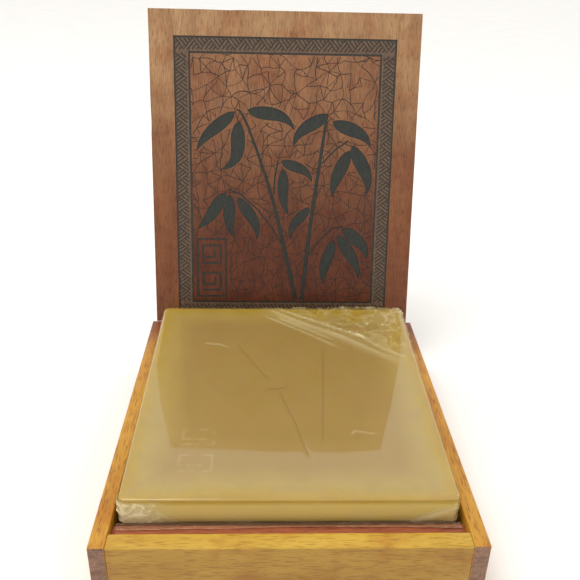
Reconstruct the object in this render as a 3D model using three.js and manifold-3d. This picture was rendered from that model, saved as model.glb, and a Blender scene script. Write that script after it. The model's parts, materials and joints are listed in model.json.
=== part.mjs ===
// A cake of rosin for the bow of a string instrument, wrapped in clear film, in its hinged wooden box.
// Millimetres. +X is the owner's right, +Y points to the hinged rear edge, +Z is up.
// The origin is the centre of the box's underside. The lid is modelled open, at its stop.
import * as THREE from 'three';
import { mergeVertices } from 'three/addons/utils/BufferGeometryUtils.js';
import Module from 'manifold-3d';

const wasm = await Module();
wasm.setup();

// ---------------------------------------------------------------- driving dimensions
const boxWidth = 94;
const boxDepth = 106.5;
const boxHeight = 20;
const sideBoard = 4; // thickness of the two side walls, which run the full depth
const endBoard = 4.5; // thickness of the front and rear walls, which stand between them
const bottomBoard = 3.5;

const ledgeDepth = 5; // strip behind the front wall
const ledgeDrop = 2.5; // its top below the rim

const cakeLength = 90.9;
const cakeWidth = 82.9;
const cakeThickness = 7.5;
const cakeCorner = 1.6; // radius of the upright corners
const cakeEdge = 0.5; // radius of the top and bottom edges
const cakeTilt = THREE.MathUtils.degToRad(2.1); // its rear edge lies higher
const filmThickness = 0.2;
const filmGap = 0.15; // air between film and cake
const filmFoldUnder = 11; // width of the film that is folded under the cake
const cakeFrontDrop = 2.9; // front lower edge of the wrapped cake, below the rim
const cakeRearClearance = 0.3; // between the wrapped cake and the rear wall

const lidWidth = 93;
const lidLength = 109.2;
const lidThickness = 3.5;
const lidSeatGap = 0.2; // between the rim and the closed lid
const lidOpenAngle = THREE.MathUtils.degToRad(103);

const hingeSpacing = 54; // between the middles of the two hinges
const hingeWidth = 14;
const leafHeight = 6.9; // from the pin's axis to the leaf's far edge
const leafThickness = 0.6;
const leafGap = 0.1; // between a leaf and the wood behind it
const knuckleRadius = 1.2;
const boreRadius = 0.6;
const pinRadius = 0.52;
const sideKnuckle = 4.4; // length of each outer knuckle
const knuckleGap = 0.3; // play between neighbouring knuckles
const axisBelowRim = 3.5;

const screwSpacing = 9;
const screwFromAxis = 5.45;
const screwHeadRadius = 1;
const screwHeadHeight = 0.45;
const shankRadius = 0.45;
const shankInWood = 3;
const leafHoleRadius = 0.6;
const pilotRadius = 0.5;
const pilotDepth = 3.3;

// ---------------------------------------------------------------- derived places
const rearFace = boxDepth / 2;
const frontFace = -boxDepth / 2;
const innerWidth = boxWidth - 2 * sideBoard;
const innerHeight = boxHeight - bottomBoard;
const axisY = rearFace + leafGap + knuckleRadius;
const axisZ = boxHeight - axisBelowRim;
const leafInnerY = -knuckleRadius; // in a hinge's own frame, whose origin is on the pin's axis
const leafOuterY = leafInnerY + leafThickness;

// ---------------------------------------------------------------- materials
const finish = (colour, roughness, metalness = 0) =>
  new THREE.MeshStandardMaterial({ color: new THREE.Color(...colour), roughness, metalness });
const boxWood = finish([0.62, 0.36, 0.14], 0.38);
const ledgeWood = finish([0.38, 0.13, 0.05], 0.35);
const lidWood = finish([0.33, 0.15, 0.07], 0.5);
const rosin = finish([0.58, 0.46, 0.17], 0.3);
const film = finish([0.85, 0.84, 0.78], 0.12);
film.transparent = true;
film.opacity = 0.4;
const brass = finish([0.72, 0.52, 0.2], 0.3, 1);

// ---------------------------------------------------------------- solids
function toSolid(geometry) {
  const bare = geometry.clone();
  bare.deleteAttribute('normal');
  bare.deleteAttribute('uv');
  const merged = mergeVertices(bare, 1e-5);
  return new wasm.Manifold(new wasm.Mesh({
    numProp: 3,
    vertProperties: merged.attributes.position.array,
    triVerts: Uint32Array.from(merged.index.array),
  }));
}

function toGeometry(solid) {
  const { vertProperties, triVerts } = solid.getMesh();
  const geometry = new THREE.BufferGeometry();
  geometry.setAttribute('position', new THREE.BufferAttribute(Float32Array.from(vertProperties), 3));
  geometry.setIndex(new THREE.BufferAttribute(Uint32Array.from(triVerts), 1));
  geometry.computeVertexNormals();
  return geometry;
}

// A block given by its lowest and highest corners.
function block(low, high) {
  const size = high.map((value, i) => value - low[i]);
  const middle = high.map((value, i) => (value + low[i]) / 2);
  return new THREE.BoxGeometry(...size).translate(...middle);
}

// A round bar along X, from x = start to x = end, on the hinge's own axis.
function barAlongX(radius, start, end, sides = 16) {
  return new THREE.CylinderGeometry(radius, radius, end - start, sides)
    .rotateZ(Math.PI / 2)
    .translate((start + end) / 2, 0, 0);
}

// A round bar along Y, from y = start to y = end, at the given x and z.
function barAlongY(radius, start, end, x, z, sides = 12) {
  return new THREE.CylinderGeometry(radius, radius, end - start, sides)
    .translate(0, (start + end) / 2, 0)
    .translate(x, 0, z);
}

function cut(geometry, tools) {
  let solid = toSolid(geometry);
  for (const tool of tools) solid = solid.subtract(toSolid(tool));
  return toGeometry(solid);
}

// A flat slab with rounded upright corners and eased top and bottom edges. It is centred in X,
// starts at y = 0 and stands on z = 0.
function slab(width, length, thickness, corner, edge) {
  const halfWidth = width / 2 - edge;
  const halfLength = length / 2 - edge;
  const radius = corner - edge;
  const outline = new THREE.Shape();
  outline.moveTo(-halfWidth + radius, -halfLength);
  outline.lineTo(halfWidth - radius, -halfLength);
  outline.absarc(halfWidth - radius, -halfLength + radius, radius, -Math.PI / 2, 0);
  outline.lineTo(halfWidth, halfLength - radius);
  outline.absarc(halfWidth - radius, halfLength - radius, radius, 0, Math.PI / 2);
  outline.lineTo(-halfWidth + radius, halfLength);
  outline.absarc(-halfWidth + radius, halfLength - radius, radius, Math.PI / 2, Math.PI);
  outline.lineTo(-halfWidth, -halfLength + radius);
  outline.absarc(-halfWidth + radius, -halfLength + radius, radius, Math.PI, Math.PI * 1.5);
  return new THREE.ExtrudeGeometry(outline, {
    depth: thickness - 2 * edge,
    bevelThickness: edge,
    bevelSize: edge,
    bevelSegments: 2,
    curveSegments: 4,
  }).translate(0, length / 2, edge);
}

// ---------------------------------------------------------------- assembly helpers
const rosinCakeBox = new THREE.Group();
rosinCakeBox.name = 'rosin_cake_in_box';

function addPiece(parent, name, geometry, material) {
  const piece = new THREE.Mesh(geometry, material);
  piece.name = name;
  parent.add(piece);
  return piece;
}

const hingeMiddles = { left: -hingeSpacing / 2, right: hingeSpacing / 2 };
const screwOffsets = [-screwSpacing / 2, screwSpacing / 2];

// Pilot holes for one board. They run forward from the board's rear face, at the height z.
function pilotHoles(z) {
  return Object.values(hingeMiddles).flatMap((middle) => screwOffsets.map((offset) =>
    barAlongY(pilotRadius, rearFace - pilotDepth, rearFace + 1, middle + offset, z)));
}

// ---------------------------------------------------------------- the box
function addBox() {
  const sideInner = innerWidth / 2;
  const ledgeFront = frontFace + endBoard;
  const ledgeTop = boxHeight - ledgeDrop;
  addPiece(rosinCakeBox, 'left_wall',
    block([-boxWidth / 2, frontFace, 0], [-sideInner, rearFace, boxHeight]), boxWood);
  addPiece(rosinCakeBox, 'right_wall',
    block([sideInner, frontFace, 0], [boxWidth / 2, rearFace, boxHeight]), boxWood);
  addPiece(rosinCakeBox, 'front_wall',
    block([-sideInner, frontFace, 0], [sideInner, frontFace + endBoard, boxHeight]), boxWood);
  const rearWall = block([-sideInner, rearFace - endBoard, 0], [sideInner, rearFace, boxHeight]);
  addPiece(rosinCakeBox, 'rear_wall', cut(rearWall, pilotHoles(axisZ - screwFromAxis)), boxWood);
  addPiece(rosinCakeBox, 'bottom_board',
    block([-sideInner, ledgeFront, 0], [sideInner, rearFace - endBoard, bottomBoard]), boxWood);
  addPiece(rosinCakeBox, 'front_ledge',
    block([-sideInner, ledgeFront, bottomBoard], [sideInner, ledgeFront + ledgeDepth, ledgeTop]),
    ledgeWood);
}

// ---------------------------------------------------------------- the cake and its film
function addCake() {
  const wrap = filmThickness + filmGap;
  const wrappedLength = cakeLength + 2 * wrap;
  const seat = new THREE.Group();
  seat.position.set(
    0,
    rearFace - endBoard - cakeRearClearance - wrappedLength * Math.cos(cakeTilt),
    boxHeight - cakeFrontDrop,
  );
  seat.rotation.x = cakeTilt;
  rosinCakeBox.add(seat);

  const cakeBody = slab(cakeWidth, cakeLength, cakeThickness, cakeCorner, cakeEdge);
  addPiece(seat, 'rosin_cake', cakeBody, rosin).position.set(0, wrap, wrap);

  const outside = slab(cakeWidth + 2 * wrap, wrappedLength, cakeThickness + 2 * wrap,
    cakeCorner + wrap, cakeEdge + wrap);
  const inside = slab(cakeWidth + 2 * filmGap, cakeLength + 2 * filmGap, cakeThickness + 2 * filmGap,
    cakeCorner + filmGap, cakeEdge + filmGap).translate(0, filmThickness, filmThickness);
  const openX = cakeWidth / 2 - filmFoldUnder;
  const openUnderside = block([-openX, filmFoldUnder, -1], [openX, wrappedLength - filmFoldUnder, wrap]);
  addPiece(seat, 'film_wrap', cut(outside, [inside, openUnderside]), film);
}

// ---------------------------------------------------------------- the hinges
// One leaf in the hinge's own frame. direction is +1 for the lid's leaf, which carries the middle
// knuckle, and -1 for the box's leaf, which carries the outer two.
function leaf(direction) {
  const half = hingeWidth / 2;
  const middleHalf = half - sideKnuckle - knuckleGap;
  const outerStart = half - sideKnuckle;
  const plateEnds = [0, direction * leafHeight].sort((a, b) => a - b);
  const notchEnds = [-knuckleRadius - knuckleGap, knuckleRadius + knuckleGap];
  let solid = toSolid(block([-half, leafInnerY, plateEnds[0]], [half, leafOuterY, plateEnds[1]]));

  const notches = direction > 0
    ? [[-half - 1, -middleHalf], [middleHalf, half + 1]]
    : [[-outerStart, outerStart]];
  for (const [start, end] of notches) {
    const notch = block([start, leafInnerY - 1, notchEnds[0]], [end, leafOuterY + 1, notchEnds[1]]);
    solid = solid.subtract(toSolid(notch));
  }
  const knuckles = direction > 0
    ? [[-middleHalf, middleHalf]]
    : [[-half, -outerStart], [outerStart, half]];
  for (const [start, end] of knuckles) solid = solid.add(toSolid(barAlongX(knuckleRadius, start, end)));

  solid = solid.subtract(toSolid(barAlongX(boreRadius, -half - 1, half + 1)));
  for (const offset of screwOffsets) {
    solid = solid.subtract(toSolid(
      barAlongY(leafHoleRadius, leafInnerY - 1, leafOuterY + 1, offset, direction * screwFromAxis)));
  }
  return toGeometry(solid);
}

// A pan-head screw along Y. Its head sits on the leaf and its point is forward, in the wood.
function screw() {
  const shankLength = leafThickness + leafGap + shankInWood;
  const profile = [
    new THREE.Vector2(0, -shankLength),
    new THREE.Vector2(shankRadius, -shankLength + 0.8),
    new THREE.Vector2(shankRadius, 0.02),
    new THREE.Vector2(screwHeadRadius, 0.02),
    new THREE.Vector2(screwHeadRadius * 0.85, screwHeadHeight * 0.7),
    new THREE.Vector2(screwHeadRadius * 0.45, screwHeadHeight),
    new THREE.Vector2(0, screwHeadHeight),
  ];
  return new THREE.LatheGeometry(profile, 12);
}

function addHinge(side, lid) {
  const middle = hingeMiddles[side];
  const boxHalf = new THREE.Group();
  boxHalf.position.set(middle, axisY, axisZ);
  rosinCakeBox.add(boxHalf);
  const lidHalf = new THREE.Group();
  lidHalf.position.x = middle;
  lid.add(lidHalf);

  addPiece(boxHalf, `${side}_hinge_box_leaf`, leaf(-1), brass);
  addPiece(lidHalf, `${side}_hinge_lid_leaf`, leaf(1), brass);
  addPiece(boxHalf, `${side}_hinge_pin`, barAlongX(pinRadius, -hingeWidth / 2, hingeWidth / 2), brass);
  screwOffsets.forEach((offset, i) => {
    addPiece(boxHalf, `${side}_hinge_box_screw_${i + 1}`, screw(), brass)
      .position.set(offset, leafOuterY, -screwFromAxis);
    addPiece(lidHalf, `${side}_hinge_lid_screw_${i + 1}`, screw(), brass)
      .position.set(offset, leafOuterY, screwFromAxis);
  });
}

// ---------------------------------------------------------------- the lid
// The lid is drawn closed, then turned open about the hinges' axis.
function addLid() {
  const lid = new THREE.Group();
  lid.position.set(0, axisY, axisZ);
  lid.rotation.x = -lidOpenAngle;
  rosinCakeBox.add(lid);

  const underside = boxHeight + lidSeatGap;
  const panel = block(
    [-lidWidth / 2, rearFace - lidLength, underside],
    [lidWidth / 2, rearFace, underside + lidThickness],
  );
  const drilled = cut(panel, pilotHoles(axisZ + screwFromAxis)).translate(0, -axisY, -axisZ);
  addPiece(lid, 'lid_panel', drilled, lidWood);
  return lid;
}

addBox();
addCake();
const lid = addLid();
for (const side of Object.keys(hingeMiddles)) addHinge(side, lid);

export default rosinCakeBox;
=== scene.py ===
import json
import random
from math import atan2, copysign, cos, pi, radians, sin, sqrt

import bmesh
import bpy
from mathutils import Matrix, Vector, geometry, noise


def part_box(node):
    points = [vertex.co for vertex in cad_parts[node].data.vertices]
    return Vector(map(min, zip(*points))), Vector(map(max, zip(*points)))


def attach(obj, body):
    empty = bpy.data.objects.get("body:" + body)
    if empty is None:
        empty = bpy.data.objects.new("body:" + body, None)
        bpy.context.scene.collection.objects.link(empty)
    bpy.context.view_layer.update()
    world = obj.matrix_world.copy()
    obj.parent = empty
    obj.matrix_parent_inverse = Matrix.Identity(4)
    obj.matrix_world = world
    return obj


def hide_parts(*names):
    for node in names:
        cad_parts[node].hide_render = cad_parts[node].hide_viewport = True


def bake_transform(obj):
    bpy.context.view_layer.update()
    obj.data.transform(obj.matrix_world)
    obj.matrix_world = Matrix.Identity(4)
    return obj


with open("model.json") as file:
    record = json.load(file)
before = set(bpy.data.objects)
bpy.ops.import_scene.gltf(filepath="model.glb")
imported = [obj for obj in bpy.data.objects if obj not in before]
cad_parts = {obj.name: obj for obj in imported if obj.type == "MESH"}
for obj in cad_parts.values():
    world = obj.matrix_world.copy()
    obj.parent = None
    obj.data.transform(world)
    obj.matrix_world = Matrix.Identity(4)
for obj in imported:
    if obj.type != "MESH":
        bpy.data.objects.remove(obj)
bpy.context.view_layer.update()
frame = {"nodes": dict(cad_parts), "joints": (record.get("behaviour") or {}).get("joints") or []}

MM = 0.001
X, Y, Z = 0, 1, 2
scene = bpy.context.scene
open_angle = next(joint for joint in frame["joints"] if joint["name"] == "lid_hinge")["range_deg"][1]

# Lengths are in millimetres. The frame, the floor, the lights and the camera's range are in metres.


# ---------------- camera, floor and light
CAMERA_PLACE = (-6.48, -172.14, 146.75)
CAMERA_DOWN = 26.78  # degrees below the horizon
CAMERA_YAW = -2.27
CAMERA_ROLL = -1.44
LENS = 43.88
SENSOR = 36.0
CAMERA_RANGE = (0.01, 50)
FLOOR_HALF = 6.0
FLOOR_DROP = 0.0002  # keeps the floor just clear of the box's underside
SOFTBOX_PLACE = (-0.3, -0.1, 0.9)
SOFTBOX_TARGET = (0, 0, 0.03)
SOFTBOX_SIZE = 0.5
SOFTBOX_POWER = 3.2
SOFTBOX_COLOUR = (1.0, 0.97, 0.92)
SKY = (1.0, 0.985, 0.96, 1)
SKY_STRENGTH = 1.05


def add_object(name, data):
    made = bpy.data.objects.new(name, data)
    scene.collection.objects.link(made)
    return made


def add_camera():
    camera = add_object("camera", bpy.data.cameras.new("camera"))
    camera.data.sensor_width = SENSOR
    camera.data.lens = LENS
    camera.data.clip_start, camera.data.clip_end = CAMERA_RANGE
    turn = (
        Matrix.Rotation(radians(CAMERA_YAW), 3, "Z")
        @ Matrix.Rotation(radians(-CAMERA_DOWN), 3, "X")
        @ Matrix.Rotation(radians(CAMERA_ROLL), 3, "Y")
    )
    right, ahead, up = turn.col
    axes = Matrix((right, up, -ahead)).transposed()
    camera.matrix_world = Matrix.Translation(Vector(CAMERA_PLACE) * MM) @ axes.to_4x4()
    scene.camera = camera


def add_floor():
    half = FLOOR_HALF
    mesh = bpy.data.meshes.new("floor")
    corners = [(-half, -half, 0), (half, -half, 0), (half, half, 0), (-half, half, 0)]
    mesh.from_pydata(corners, [], [(0, 1, 2, 3)])
    floor = add_object("floor", mesh)
    floor.location.z = -FLOOR_DROP
    mesh.materials.append(floor_finish())


def add_softbox():
    data = bpy.data.lights.new("softbox", "AREA")
    data.shape = "DISK"
    data.size = SOFTBOX_SIZE
    data.energy = SOFTBOX_POWER
    data.color = SOFTBOX_COLOUR
    light = add_object("softbox", data)
    light.location = SOFTBOX_PLACE
    light.rotation_mode = "QUATERNION"
    aim = Vector(SOFTBOX_TARGET) - Vector(SOFTBOX_PLACE)
    light.rotation_quaternion = aim.to_track_quat("-Z", "Y")


def add_sky():
    world = bpy.data.worlds.new("studio")
    world.use_nodes = True
    background = world.node_tree.nodes["Background"]
    background.inputs["Color"].default_value = SKY
    background.inputs["Strength"].default_value = SKY_STRENGTH
    scene.world = world


# ---------------- building materials
def linear(colour):
    """A screen colour, 0 to 255, as linear light. A single number is a plain shade, 0 to 1."""
    if not hasattr(colour, "__len__"):
        return (colour, colour, colour, 1)
    shares = [value / 255 for value in colour]
    return (*(s / 12.92 if s <= 0.04045 else ((s + 0.055) / 1.055) ** 2.4 for s in shares), 1.0)


class Finish:
    """A material made node by node. Sockets that stay constant are set on the shader itself. Colours
    are screen colours, 0 to 255."""

    def __init__(self, name, **constants):
        self.material = bpy.data.materials.new(name)
        self.material.use_nodes = True
        self.tree = self.material.node_tree
        self.shader = self.tree.nodes["Principled BSDF"]
        for socket, value in constants.items():
            self.shader.inputs[socket.replace("_", " ")].default_value = value

    def node(self, kind, sockets=None, output=0, **settings):
        made = self.tree.nodes.new("ShaderNode" + kind)
        for key, value in settings.items():
            setattr(made, key, value)
        for key, value in (sockets or {}).items():
            if isinstance(value, bpy.types.NodeSocket):
                self.tree.links.new(value, made.inputs[key])
            else:
                made.inputs[key].default_value = value
        return made.outputs[output]

    def place(self, scale=(1, 1, 1)):
        """The piece's own coordinates, in metres, stretched by scale."""
        own = self.node("TexCoord", output="Object")
        return self.node("Mapping", {"Vector": own, "Scale": scale})

    def noise(self, where, size, detail=3, rough=0.55):
        """Noise from 0 to 1 whose patches are about size millimetres across."""
        sockets = {"Vector": where, "Scale": 1 / (size * MM), "Detail": detail, "Roughness": rough}
        return self.node("TexNoise", sockets)

    def ramp(self, value, stops):
        """Colours or shades between stops, each a place from 0 to 1 and a colour or shade."""
        made = self.tree.nodes.new("ShaderNodeValToRGB")
        self.tree.links.new(value, made.inputs["Fac"])
        elements = made.color_ramp.elements
        while len(elements) < len(stops):
            elements.new(0.5)
        for element, (where, colour) in zip(elements, stops):
            element.position = where
            element.color = linear(colour)
        return made.outputs["Color"]

    def mix(self, share, first, second, blend="MIX"):
        """first, blended with the colour second by a share."""
        made = self.tree.nodes.new("ShaderNodeMix")
        made.data_type = "RGBA"
        made.blend_type = blend
        under, over = [s for s in made.inputs if s.type == "RGBA"]
        self.tree.links.new(share, made.inputs["Factor"])
        self.tree.links.new(first, under)
        over.default_value = linear(second)
        return next(s for s in made.outputs if s.type == "RGBA")

    def maths(self, operation, *values):
        return self.node("Math", dict(enumerate(values)), operation=operation)

    def attribute(self, name):
        return self.node("Attribute", output="Fac", attribute_name=name)

    def finish(self, colour=None, roughness=None, height=None, bump=0.1, alpha=None):
        links = {"Base Color": colour, "Roughness": roughness, "Alpha": alpha}
        for socket, value in links.items():
            if value is not None:
                self.tree.links.new(value, self.shader.inputs[socket])
        if height is not None:
            sockets = {"Height": height, "Distance": bump * MM, "Strength": 1.0}
            self.tree.links.new(self.node("Bump", sockets), self.shader.inputs["Normal"])
        return self.material


# ---------------- the materials
def floor_finish():
    look = Finish("pale_floor", Roughness=0.9)
    grain = look.noise(look.place(), 40, detail=2)
    return look.finish(look.ramp(grain, [(0.3, (243, 242, 240)), (0.7, (247, 246, 244))]))


def wood(name, dark, middle, light, grain, gloss=0.3, coat=0.12, blotch=None, painted_shade=None, pores=0.35):
    """Varnished open-pored wood. grain is the axis that its fibres follow, 0 to 2. blotch is the
    colour of its darker patches. painted_shade is an axis, two places in millimetres and the colour
    that tints the wood at the first of them, fading out by the second: painted shade, which on the
    side boards is a painted reflection of the lid. pores is how dark the open pores are."""
    look = Finish(name, Coat_Weight=coat, Coat_Roughness=0.22, Coat_IOR=1.5, Specular_IOR_Level=0.3)
    along = [1.0, 1.0, 1.0]
    along[grain] = 0.09
    fibres = look.place(tuple(along))
    along[grain] = 0.16
    streaks = look.place(tuple(along))
    figure = look.noise(streaks, 4.2, detail=3, rough=0.5)
    fibre = look.noise(fibres, 0.4, detail=5, rough=0.75)
    pore = look.noise(fibres, 0.3, detail=1, rough=0.4)
    patch = look.noise(look.place(), 13, detail=4, rough=0.65)
    body = look.maths("ADD", look.maths("MULTIPLY", figure, 0.5), look.maths("MULTIPLY", fibre, 0.5))
    colour = look.ramp(body, [(0.3, dark), (0.5, middle), (0.7, light)])
    open_pores = look.ramp(pore, [(0.33, 1.0), (0.42, 0.0)])
    colour = look.mix(look.maths("MULTIPLY", open_pores, pores), colour, dark, "MULTIPLY")
    if blotch:
        share = look.ramp(patch, [(0.47, 0.0), (0.68, 0.75)])
        colour = look.mix(share, colour, blotch, "MULTIPLY")
    # painted shade: the wood is tinted darker along one axis, fully at the first place and not at all past
    # the second
    if painted_shade:
        axis, start, end, tint = painted_shade
        own = look.node("TexCoord", output="Object")
        reach = look.node("SeparateXYZ", {0: own}, output=axis)
        ends = {"Value": reach, "From Min": end * MM, "From Max": start * MM}
        share = look.node("MapRange", ends, interpolation_type="SMOOTHSTEP")
        colour = look.mix(share, colour, tint, "MULTIPLY")
    rough = look.ramp(fibre, [(0.3, gloss), (0.7, gloss + 0.16)])
    height = look.maths("SUBTRACT", look.maths("MULTIPLY", fibre, 0.6), open_pores)
    return look.finish(colour, rough, height, bump=0.05)


def end_grain(name, dark, light):
    """The cut ends of the fibres: matt specks in faint growth rings."""
    look = Finish(name, Coat_Weight=0.15, Coat_Roughness=0.35)
    own = look.place()
    specks = look.noise(own, 0.5, detail=4, rough=0.7)
    rings = look.noise(look.place((1, 1, 3)), 4, detail=2)
    body = look.maths("ADD", look.maths("MULTIPLY", specks, 0.6), look.maths("MULTIPLY", rings, 0.4))
    colour = look.ramp(body, [(0.36, dark), (0.62, light)])
    return look.finish(colour, look.ramp(specks, [(0.3, 0.5), (0.7, 0.68)]), specks, bump=0.08)


def burnt(name, dark, light, rough=0.6):
    """The floor of an engraved line, charred and then tinted."""
    look = Finish(name)
    char = look.noise(look.place((1, 0.25, 1)), 0.7, detail=4, rough=0.7)
    colour = look.ramp(char, [(0.35, dark), (0.65, light)])
    return look.finish(colour, look.ramp(char, [(0.3, rough - 0.12), (0.7, rough)]), char, bump=0.06)


def rosin_finish():
    """Cloudy amber rosin: yellow-green and clearer at its edges, khaki in its depth."""
    look = Finish(
        "rosin",
        Subsurface_Weight=0.35,
        Subsurface_Radius=(1.0, 0.62, 0.18),
        Subsurface_Scale=0.0035,
        IOR=1.54,
        Specular_Tint=(1.0, 0.93, 0.6, 1.0),
        Coat_Weight=1.0,
        Coat_Roughness=0.035,
        Coat_IOR=1.68,
    )
    inward = look.attribute("inward")
    cloud = look.noise(look.place(), 14, detail=4, rough=0.6)
    wobble = look.maths("MULTIPLY", look.maths("SUBTRACT", cloud, 0.5), 0.35)
    depth = look.maths("ADD", inward, wobble)
    stops = [
        (0.0, (160, 126, 0)),
        (0.12, (168, 136, 10)),
        (0.3, (165, 138, 52)),
        (0.45, (164, 138, 66)),
        (1.0, (149, 119, 57)),
    ]
    colour = look.ramp(depth, stops)
    murk = look.noise(look.place(), 6, detail=4, rough=0.65)
    colour = look.mix(look.ramp(murk, [(0.5, 0.0), (0.7, 0.5)]), colour, (146, 120, 46))
    colour = look.mix(look.ramp(murk, [(0.32, 0.45), (0.47, 0.0)]), colour, (152, 116, 66))
    colour = look.mix(look.attribute("sidelight"), colour, (240, 222, 128))
    fine = look.noise(look.place(), 1.6, detail=5, rough=0.65)
    colour = look.mix(look.maths("MULTIPLY", fine, 0.12), colour, (150, 120, 50))
    colour = look.mix(look.attribute("scratch"), colour, (112, 88, 40))
    colour = look.mix(look.attribute("scuff"), colour, (226, 206, 150))
    rough = look.ramp(fine, [(0.35, 0.32), (0.7, 0.5)])
    return look.finish(colour, rough, cloud, bump=0.008)


def film_finish(name, thin, milky):
    """Clear wrapping film. It is nearly invisible where it lies flat and milky where it is creased."""
    look = Finish(name, Roughness=0.12, IOR=1.5, Specular_Tint=(1.0, 0.96, 0.78, 1.0), Coat_Weight=0.6,
                  Coat_Roughness=0.05)
    haze = look.attribute("haze")
    colour = look.ramp(haze, [(0.1, thin), (0.7, milky)])
    fine = look.noise(look.place(), 1.1, detail=3)
    return look.finish(colour, None, fine, bump=0.02, alpha=haze)


def brass_finish(name, shade):
    """Brass that has dulled in patches. shade darkens it."""
    look = Finish(name, Metallic=1.0)
    tarnish = look.noise(look.place(), 2.6, detail=5, rough=0.65)
    dull, bright = ([value * shade for value in colour] for colour in ((118, 92, 52), (186, 152, 94)))
    colour = look.ramp(tarnish, [(0.34, dull), (0.58, bright)])
    lines = look.noise(look.place((0.06, 1, 1)), 0.12, detail=2)
    rough = look.ramp(tarnish, [(0.3, 0.42), (0.6, 0.26)])
    return look.finish(colour, rough, lines, bump=0.01)


# ---------------- building pieces
def to_mesh(name, bm):
    mesh = bpy.data.meshes.new(name)
    bm.to_mesh(mesh)
    bm.free()
    return mesh


def smooth_by_angle(mesh, degrees=35):
    mesh.shade_smooth()
    mesh.set_sharp_from_angle(angle=radians(degrees))


def add_piece(name, bm, finishes, body, node, place=None):
    """A finished mesh as a named piece that rides on a body and replaces a node."""
    mesh = to_mesh(name, bm)
    smooth_by_angle(mesh)
    for finish in finishes:
        mesh.materials.append(finish)
    piece = add_object(name, mesh)
    if place is not None:
        piece.matrix_world = place
    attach(piece, body)
    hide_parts(node)
    return piece


def grow(bm, ring):
    """Faces grown from a ring of edges. Returns the new ring, which is still in place, and its vertices."""
    made = bmesh.ops.extrude_edge_only(bm, edges=ring)["geom"]
    edges = [item for item in made if isinstance(item, bmesh.types.BMEdge)]
    return edges, {vertex for edge in edges for vertex in edge.verts}


def grid_faces(bm, grid):
    """The faces between neighbouring lines of vertices."""
    for first, second in zip(grid, grid[1:]):
        for j in range(len(first) - 1):
            bm.faces.new((first[j], second[j], second[j + 1], first[j + 1]))


BOARD_CUTS = 36  # along the grain, so that wear can dent the long edges


def board(name, node, grain, finish, end_finish, ease=0.32, wear=0.07):
    """A sawn board the size of its node, with eased and slightly worn edges."""
    low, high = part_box(node)
    middle, size = (low + high) / 2, high - low
    bm = bmesh.new()
    bmesh.ops.create_cube(bm, size=1)
    for vertex in bm.verts:
        vertex.co = Vector(m + c * s for m, c, s in zip(middle, vertex.co, size))
    bmesh.ops.bevel(bm, geom=bm.edges[:], offset=ease * MM, segments=3, profile=0.5, affect="EDGES")
    long_edges = [e for e in bm.edges if abs((e.verts[0].co - e.verts[1].co)[grain]) > size[grain] / 2]
    bmesh.ops.subdivide_edges(bm, edges=long_edges, cuts=BOARD_CUTS, use_grid_fill=True)
    bm.normal_update()
    for vertex in bm.verts:
        roughness = noise.noise(vertex.co * 140) + 0.5 * noise.noise(vertex.co * 420)
        corner = 1 - max(abs(c) for c in vertex.normal)
        vertex.co -= vertex.normal * wear * MM * max(0.0, roughness) * min(1.0, corner * 4)
    bm.normal_update()
    for face in bm.faces:
        face.material_index = 1 if abs(face.normal[grain]) > 0.8 else 0
    return add_piece(name, bm, [finish, end_finish], "box", node)


# ---------------- the box
def build_box():
    gold = ((164, 106, 32), (190, 138, 44), (202, 154, 56))
    ends = end_grain("box_end_grain", (92, 60, 47), (146, 108, 83))
    # the side boards darken towards their rear ends, beside the lid: a painted reflection of the lid
    sides = wood("box_side_wood", *gold, grain=Y, blotch=(232, 200, 170), pores=0.5,
                 painted_shade=(Y, 53, 24, (172, 124, 128)))
    # the front and rear boards are tinted darker and cooler below the rim: painted shade on their upright
    # faces, leaving their tops golden
    fronts = wood("box_front_wood", (170, 128, 42), (192, 153, 53), (202, 165, 62), grain=X,
                  blotch=(230, 200, 174), painted_shade=(Z, 19.2, 19.8, (220, 212, 238)))
    inner = wood("box_inner_wood", (96, 50, 34), (136, 78, 50), (158, 98, 62), grain=X)
    for side in ("left", "right"):
        board(f"{side}_side_board", f"{side}_wall", Y, sides, ends)
    board("front_board", "front_wall", X, fronts, ends)
    board("rear_board", "rear_wall", X, fronts, ends)
    board("base_board", "bottom_board", X, inner, ends)
    red = wood("ledge_wood", (118, 58, 40), (164, 92, 62), (188, 116, 80), grain=X)
    board("cake_ledge", "front_ledge", X, red, ends, ease=0.25)


# ---------------- the lid
LID_EASE = 0.3
LID_SIDE_STEPS = 24
LID_WEAR = 0.05
CHIP_DEPTH = 0.5
# The height of each kind of ground on the engraved face. A kind's place here is its material's slot.
ETCH = {"bare": 0.0, "ground": 0.0, "crackle": -0.1, "band": -0.04, "border": -0.16, "spray": -0.2}
ETCH_ORDER = list(ETCH)


def lid_frame():
    """The open lid's own frame, its width, length and thickness. Its origin is the middle of the
    hinged edge of the engraved face; +X is across, +Y runs up the lid, +Z stands out of the face."""
    low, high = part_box("lid_panel")
    lean = radians(open_angle - 90)
    s, c = sin(lean), cos(lean)
    depth, height = high.y - low.y, high.z - low.z
    length = (height * c - depth * s) / (c * c - s * s)
    thickness = (depth * c - height * s) / (c * c - s * s)
    axes = Matrix(((1, 0, 0), (0, s, c), (0, -c, s))).transposed().to_4x4()
    place = Matrix.Translation(((low.x + high.x) / 2, low.y, high.z - length * c))
    return place @ axes, (high.x - low.x) / MM, length / MM, thickness / MM


def ribbon(points, widths):
    """An outline of varying width along a line of points."""
    points = [Vector(point) for point in points]
    left, right = [], []
    for i, point in enumerate(points):
        ahead = (points[min(i + 1, len(points) - 1)] - points[max(i - 1, 0)]).normalized()
        across = Vector((-ahead.y, ahead.x)) * widths[i] / 2
        left.append(point + across)
        right.append(point - across)
    return right + left[::-1]


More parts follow.
